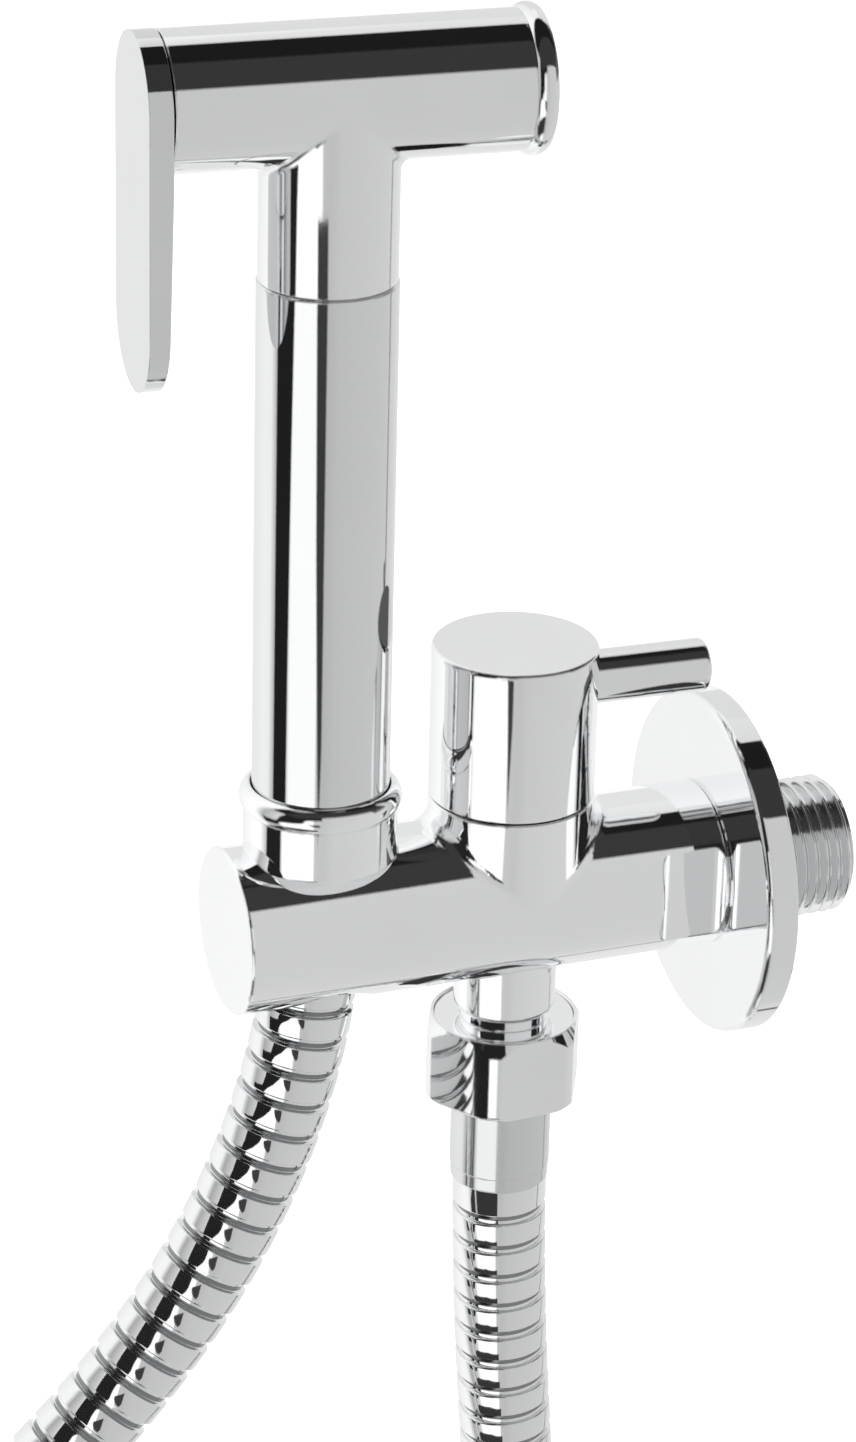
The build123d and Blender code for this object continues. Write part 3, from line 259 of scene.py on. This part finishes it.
def metal(name, colour, roughness, spread=0.02, edge=0.25, grain=0.04):
    """Plated or bare metal: small changes of roughness and tone, faint grain, softened edges.

    edge is the radius in millimetres by which its edges look rounded.
    """
    n = Nodes(name)
    cloud = n.noise(CLOUD_SCALE, CLOUD_DETAIL)
    rough = n.add("ShaderNodeMapRange")
    rough.inputs["To Min"].default_value = max(roughness - spread, 0.0)
    rough.inputs["To Max"].default_value = roughness + spread
    n.join(cloud, rough.inputs["Value"])
    n.join(rough.outputs["Result"], n.shader.inputs["Roughness"])
    n.tint(cloud, colour, CLOUD_DARKEST)
    bump = n.relief(n.noise(GRAIN_SCALE, GRAIN_DETAIL), grain, GRAIN_HEIGHT)
    bevel = n.add("ShaderNodeBevel", samples=BEVEL_SAMPLES, radius=edge * MM)
    n.join(bevel.outputs["Normal"], bump.inputs["Normal"])
    n.shader.inputs["Metallic"].default_value = 1.0
    return n.material


def matt(name, colour, roughness):
    """Rubber, plastic or ceramic: mottled tone and a fine uneven surface."""
    n = Nodes(name)
    mottle = n.noise(MOTTLE_SCALE, MOTTLE_DETAIL)
    n.tint(mottle, colour, MOTTLE_DARKEST, MOTTLE_LIGHTEST)
    n.relief(mottle, MOTTLE_STRENGTH, MOTTLE_HEIGHT)
    n.shader.inputs["Roughness"].default_value = roughness
    return n.material


CHROME = metal("chrome", (0.90, 0.905, 0.91), 0.035, edge=0.5)
BODY_CHROME = metal("body_chrome", (0.965, 0.97, 0.975), 0.035, edge=0.5)
KNOB_CHROME = metal("knob_chrome", (0.93, 0.935, 0.94), 0.035, edge=0.5)
HANDLE_CHROME = metal("handle_chrome", (0.82, 0.825, 0.83), 0.035, edge=0.5)
SATIN_CHROME = metal("satin_chrome", (0.74, 0.745, 0.75), 0.12)
HOSE_CHROME = metal("hose_chrome", (0.88, 0.885, 0.89), 0.06, edge=0.1)
# Dark metal for the deep faces of the hose's grooves: painted shade
HOSE_GROOVE_SHADE = metal("hose_groove_shade", (0.30, 0.305, 0.31), 0.22, spread=0.06, edge=0.1)
PLATED_PLASTIC = metal("plated_plastic", (0.88, 0.885, 0.89), 0.05)
PLATE_CHROME = metal("plate_chrome", (0.79, 0.795, 0.80), 0.05)
THREAD_CHROME = metal("thread_chrome", (0.80, 0.805, 0.81), 0.13, spread=0.05, edge=0.1, grain=0.06)
BRASS = metal("brass", (0.80, 0.60, 0.30), 0.22, spread=0.06, grain=0.15)
STEEL = metal("steel", (0.62, 0.63, 0.64), 0.28, spread=0.06, grain=0.15)
RUBBER = matt("rubber", (0.03, 0.03, 0.032), 0.6)
CERAMIC = matt("ceramic", (0.85, 0.84, 0.80), 0.25)
NOZZLE_PLASTIC = matt("nozzle_plastic", (0.42, 0.43, 0.44), 0.35)

# Material of each slot, and of the nodes that have one of their own
LOOKS = {
    "chrome": CHROME, "hose_casing": HOSE_CHROME, "brass": BRASS, "steel": STEEL,
    "seal_rubber": RUBBER, "ceramic": CERAMIC, "chromed_plastic": PLATED_PLASTIC,
    "nozzle_plastic": NOZZLE_PLASTIC,
}
NODE_LOOKS = {
    "valve_body": BODY_CHROME, "socket_sleeve": BODY_CHROME, "knob": KNOB_CHROME,
    "handle_tube": HANDLE_CHROME, "trigger_plate": PLATE_CHROME,
    "outlet_ferrule": SATIN_CHROME, "hose_end_ferrule": SATIN_CHROME,
}


def dress_cad_nodes():
    """Every CAD node that still shows gets the material of its slot, or one of its own."""
    for entry in frame["record"]["subparts"]:
        obj = nodes[entry["node"]]
        obj.data.materials.clear()
        obj.data.materials.append(NODE_LOOKS.get(entry["node"], LOOKS[entry["material_slot"]]))


def hose_line():
    """Points of the hose's centre line, read from its own smooth spline."""
    curve = bpy.data.curves.new("hose_route", "CURVE")
    curve.dimensions = "3D"
    curve.resolution_u = HOSE_ROUTE_STEPS
    spline = curve.splines.new("NURBS")
    spline.points.add(len(HOSE_ROUTE) - 1)
    for point, (y, z) in zip(spline.points, HOSE_ROUTE):
        point.co = (0.0, y, z, 1.0)
    spline.order_u = 3
    spline.use_endpoint_u = True
    obj = bpy.data.objects.new("hose_route", curve)
    mesh = bpy.data.meshes.new_from_object(obj)
    points = [v.co.copy() for v in mesh.vertices]
    bpy.data.objects.remove(obj)
    return points


def along(points, distances):
    """Place and heading at each distance along the line, with the heading eased at its corners."""
    lengths = [0.0]
    for a, b in zip(points, points[1:]):
        lengths.append(lengths[-1] + (b - a).length)
    found = []
    k = 0
    for distance in distances:
        while k < len(points) - 2 and lengths[k + 1] < distance:
            k += 1
        share = (distance - lengths[k]) / (lengths[k + 1] - lengths[k])
        here = (points[k + 1] - points[k]).normalized()
        before = (points[k] - points[k - 1]).normalized() if k else here
        heading = before.lerp(here, min(share + 0.5, 1.0)).normalized()
        found.append((points[k].lerp(points[k + 1], share), heading))
    return found


def make_hose():
    """Interlocked metal hose: raised bands whose lower lip stands over a narrow groove, painted dark as shade."""
    points = hose_line()
    total = sum((b - a).length for a, b in zip(points, points[1:]))
    banded = total - PLAIN_AT_HANDLE - PLAIN_AT_OUTLET
    bands = round(banded / BAND_PITCH)
    pitch = banded / bands
    rings = [(0.0, 0.0), (PLAIN_AT_HANDLE - FIRST_RIM_LENGTH, 0.0)]
    for number in range(bands):
        for share, depth in BAND:
            rings.append((PLAIN_AT_HANDLE + (number + share) * pitch, depth * BAND_DEPTH))
    rings.append((total - PLAIN_AT_OUTLET, LAST_RIM_DEPTH))
    rings.append((total - PLAIN_AT_OUTLET + LAST_RIM_LENGTH, 0.0))
    rings.append((total, 0.0))
    sideways = Vector((1.0, 0.0, 0.0))
    vertices = []
    places = along(points, [distance for distance, _ in rings])
    for (place, heading), (_, depth) in zip(places, rings):
        other = heading.cross(sideways)
        for side in range(HOSE_SIDES):
            turn = tau * side / HOSE_SIDES
            vertices.append(place + (sideways * cos(turn) + other * sin(turn)) * (HOSE_R - depth))
    hose = tube_piece("hose", vertices, HOSE_SIDES, HOSE_CHROME)
    # The deep faces of each groove get the second, dark material: painted shade
    hose.data.materials.append(HOSE_GROOVE_SHADE)
    for polygon in hose.data.polygons:
        ring = polygon.index // HOSE_SIDES
        if ring < len(rings) - 1 and min(rings[ring][1], rings[ring + 1][1]) >= GROOVE_SHADE_DEPTH:
            polygon.material_index = 1
    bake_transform(hose)
    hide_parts("shower_hose")


def ring_points(radius, y):
    """Points round the inlet's axis, which lies along Y; the radius may change with the turn."""
    points = []
    for side in range(NIPPLE_SIDES):
        turn = tau * side / NIPPLE_SIDES
        r = radius(turn) if callable(radius) else radius
        points.append((r * sin(turn), y, r * cos(turn)))
    return points


def key_radius(turn):
    """Radius of the hexagon socket at this turn, from the middle of its flats to its corners."""
    return KEY_ACROSS / 2 / cos((turn + pi / 6) % (pi / 3) - pi / 6)


def thread_ring(y):
    """One ring through the thread, whose flanks are smooth waves as steep as a real one's."""
    def radius(turn):
        share = (y / THREAD_PITCH - turn / tau) % 1.0
        height = 1 - abs(2 * share - 1)
        height = height * height * (3 - 2 * height)
        return min(THREAD_R - THREAD_DEPTH * (1 - height), THREAD_R - TAIL_CHAMFER + TAIL_END - y)

    return ring_points(radius, y)


def make_nipple():
    """Inlet nipple: threaded tail with a hexagon socket for the key, neck, and root in the body."""
    count = round(TAIL_END / THREAD_PITCH * RINGS_PER_TURN)
    vertices = [
        *ring_points(BORE_R, ROOT_END), *ring_points(ROOT_R, ROOT_END),
        *ring_points(ROOT_R, ROSETTE_FRONT), *ring_points(NECK_R, ROSETTE_FRONT),
        *ring_points(NECK_R, TAIL_START),
    ]
    for step in range(count + 1):
        vertices += thread_ring(TAIL_END * step / count)
    vertices += [
        *ring_points(key_radius, TAIL_END), *ring_points(key_radius, KEY_FLOOR),
        *ring_points(BORE_R, KEY_FLOOR),
    ]
    nipple = tube_piece("threaded_nipple", vertices, NIPPLE_SIDES, THREAD_CHROME, closed=True)
    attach(nipple, "fixed_body")
    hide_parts("inlet_nipple")


def make_spring():
    """Wire spring with closed ends, which the plug of the stem presses together in the head."""
    first, last = SPRING_REACH
    turns = SPRING_OPEN_TURNS + 2 * SPRING_CLOSED_TURNS
    open_length = last - first - 2 * SPRING_CLOSED_TURNS * SPRING_CLOSED_PITCH
    open_pitch = open_length / SPRING_OPEN_TURNS
    steps = round(turns * SPRING_STEPS)
    vertices = []
    for step in range(steps + 1):
        turn = turns * step / steps
        low = min(turn, SPRING_CLOSED_TURNS)
        high = max(turn - turns + SPRING_CLOSED_TURNS, 0.0)
        along_axis = first + (low + high) * SPRING_CLOSED_PITCH + (turn - low - high) * open_pitch
        outward = HEAD_SIDE * cos(tau * turn) + Vector((0.0, 0.0, sin(tau * turn)))
        wire = HEAD_CENTRE + HEAD_AXIS * along_axis + outward * SPRING_R
        for side in range(SPRING_SIDES):
            angle = tau * side / SPRING_SIDES
            vertices.append(wire + (outward * cos(angle) + HEAD_AXIS * sin(angle)) * SPRING_WIRE_R)
    spring = tube_piece("coil_spring", vertices, SPRING_SIDES, STEEL)
    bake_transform(spring)
    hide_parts("return_spring")


# Studio: brightness of the pale walls by compass direction in degrees, counted from +X towards +Y
WALLS = (
    (0, 0.62), (90, 0.68), (104, 0.74), (150, 0.85), (158, 1.02), (184, 0.92),
    (226, 1.06), (242, 1.04), (250, 0.70), (256, 0.45), (280, 0.70), (285, 1.20),
    (330.5, 1.20), (331.5, 0.60), (345, 0.57), (360, 0.62),
)

# Dark upright seam in the wall behind the object: x of its direction, half its width, highest z, tone
SEAM_PLACE = -0.175
SEAM_WIDTH = 0.020
SEAM_TOP = -0.1
SEAM_TONE = 0.16

# Two dark cards overhead, which only reflections see: (x, z) of their edges, and their reach along y
OVERHEAD_NEAR = (0.269, 0.293)
OVERHEAD_MIDDLE = (0.050, 0.310)
OVERHEAD_FAR = (-0.071, 0.320)
OVERHEAD_REACH = (-0.40, 0.80)
OVERHEAD_TONES = (0.040, 0.012)

# Curved cards that stand round the object, which only reflections see: tone, distance, and stations of
# compass degrees with the lowest and highest elevation there
STANDING_CARDS = {
    "card_room": (0.016, 2.5, (
        (254.5, -33, -15), (277, -33, -14), (281, -24, -4), (284, -20.5, 45), (289, -17, 45),
        (296, -14.5, 45), (303, -12, 45), (308, -9, 45), (315, -5, 45), (318, 0, 45), (319, 12, 45),
        (322, 20, 45), (343, 25, 45),
    )),
    "card_wedge": (0.050, 0.45, (
        (324, -15, -12), (327.5, -21.5, -12), (331, -25, -12), (337, -29.4, -12), (340.5, -27, -12),
    )),
    "card_low": (0.040, 2.5, (
        (250, -75, -50), (276, -70, -39.5), (306, -70, -39.5), (336, -70, -39.5),
    )),
    "card_knob_top": (0.80, 2.5, ((140, 5, 45), (160, 5, 45), (180, 5, 45))),
    "card_behind": (0.12, 0.60, ((60, 8, 55), (88, 8, 55), (115, 8, 55))),
}
CARD_CENTRE = Vector((0.0, -0.065, 0.060))

FLOOR_GAP = 6 * MM
FLOOR_REACH = 8.0
FLOOR_GLOW = 0.6

# Soft lights that no reflection shows: place, side of the square, power
LIGHTS = {"top": ((0.3, -0.4, 1.6), 1.2, 14.0), "front": ((1.3, -1.0, 0.5), 1.0, 8.0)}


def white_floor():
    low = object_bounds()[0][2] - FLOOR_GAP
    n = Nodes("floor")
    n.shader.inputs["Base Color"].default_value = (0.9, 0.9, 0.9, 1.0)
    n.shader.inputs["Roughness"].default_value = 0.9
    n.glow(FLOOR_GLOW)
    far = FLOOR_REACH
    corners = [(-far, -far, low), (far, -far, low), (far, far, low), (-far, far, low)]
    floor = mesh_piece("floor", corners, [(0, 1, 2, 3)], n.material)
    floor.visible_glossy = False


def card(name, corners, faces, tone):
    """Card of an even grey that only reflections see."""
    n = Nodes(name)
    n.shader.inputs["Base Color"].default_value = (0.0, 0.0, 0.0, 1.0)
    n.shader.inputs["Specular IOR Level"].default_value = 0.0
    n.glow(tone)
    piece = mesh_piece(name, corners, faces, n.material, smooth=False)
    piece.visible_camera = False
    piece.visible_diffuse = False
    piece.visible_shadow = False


def overhead_card(name, side_a, side_b, tone):
    """Sloping card between two edges, each given by its x and z."""
    near, far = OVERHEAD_REACH
    (xa, za), (xb, zb) = side_a, side_b
    card(name, [(xa, near, za), (xb, near, zb), (xb, far, zb), (xa, far, za)], [(0, 1, 2, 3)], tone)


def standing_card(name, tone, distance, stations):
    """Upright curved card through its stations."""
    corners = []
    for azimuth, low, high in stations:
        a = radians(azimuth)
        for elevation in (low, high):
            direction = Vector((cos(a), sin(a), tan(radians(elevation))))
            corners.append(CARD_CENTRE + distance * direction)
    faces = [(2 * k, 2 * k + 2, 2 * k + 3, 2 * k + 1) for k in range(len(stations) - 1)]
    card(name, corners, faces, tone)


def cards():
    near_tone, far_tone = OVERHEAD_TONES
    overhead_card("card_overhead_near", OVERHEAD_NEAR, OVERHEAD_MIDDLE, near_tone)
    overhead_card("card_overhead_far", OVERHEAD_MIDDLE, OVERHEAD_FAR, far_tone)
    for name, (tone, distance, stations) in STANDING_CARDS.items():
        standing_card(name, tone, distance, stations)


def area_light(name, place, side, power):
    """Soft square light that shines at the origin."""
    data = bpy.data.lights.new(name, "AREA")
    data.size = side
    data.energy = power
    light = link(bpy.data.objects.new(name, data))
    light.location = place
    light.rotation_euler = (-Vector(place)).to_track_quat("-Z", "Y").to_euler()
    light.visible_glossy = False


def pale_walls():
    """World: pale walls whose brightness changes round the compass, and the dark seam."""
    world = bpy.data.worlds.new("studio")
    scene.world = world
    world.use_nodes = True
    tree = world.node_tree
    background = tree.nodes["Background"]

    def result(operation, a, b, c=None):
        node = tree.nodes.new("ShaderNodeMath")
        node.operation = operation
        for socket, value in zip(node.inputs, (a, b, c)):
            if isinstance(value, (int, float)):
                socket.default_value = value
            elif value is not None:
                tree.links.new(value, socket)
        return node.outputs["Value"]

    direction = tree.nodes.new("ShaderNodeTexCoord").outputs["Generated"]
    split = tree.nodes.new("ShaderNodeSeparateXYZ")
    tree.links.new(direction, split.inputs["Vector"])
    x, y, z = split.outputs
    turns = result("DIVIDE", result("ARCTAN2", y, x), tau)
    ramp = tree.nodes.new("ShaderNodeValToRGB")
    tree.links.new(result("FRACT", result("ADD", turns, 1.0), 0.0), ramp.inputs["Fac"])
    stops = ramp.color_ramp.elements
    for azimuth, _ in WALLS[1:-1]:
        stops.new(azimuth / 360)
    for stop, (_, tone) in zip(stops, WALLS):
        stop.color = (tone, tone, tone, 1.0)
    seam = result("COMPARE", x, SEAM_PLACE, SEAM_WIDTH)
    seam = result("MULTIPLY", seam, result("LESS_THAN", z, SEAM_TOP))
    seam = result("MULTIPLY", seam, result("GREATER_THAN", y, 0.0))
    tone = tree.nodes.new("ShaderNodeMix")
    tone.data_type = "RGBA"
    tree.links.new(seam, tone.inputs["Factor"])
    tree.links.new(ramp.outputs["Color"], tone.inputs["A"])
    tone.inputs["B"].default_value = (SEAM_TONE, SEAM_TONE, SEAM_TONE, 1.0)
    tree.links.new(tone.outputs["Result"], background.inputs["Color"])


def studio():
    scene.view_settings.view_transform = "Standard"
    pale_walls()
    cards()
    for name, (place, side, power) in LIGHTS.items():
        area_light(name, place, side, power)


make_camera()
make_hose()
make_nipple()
make_spring()
dress_cad_nodes()
white_floor()
studio()
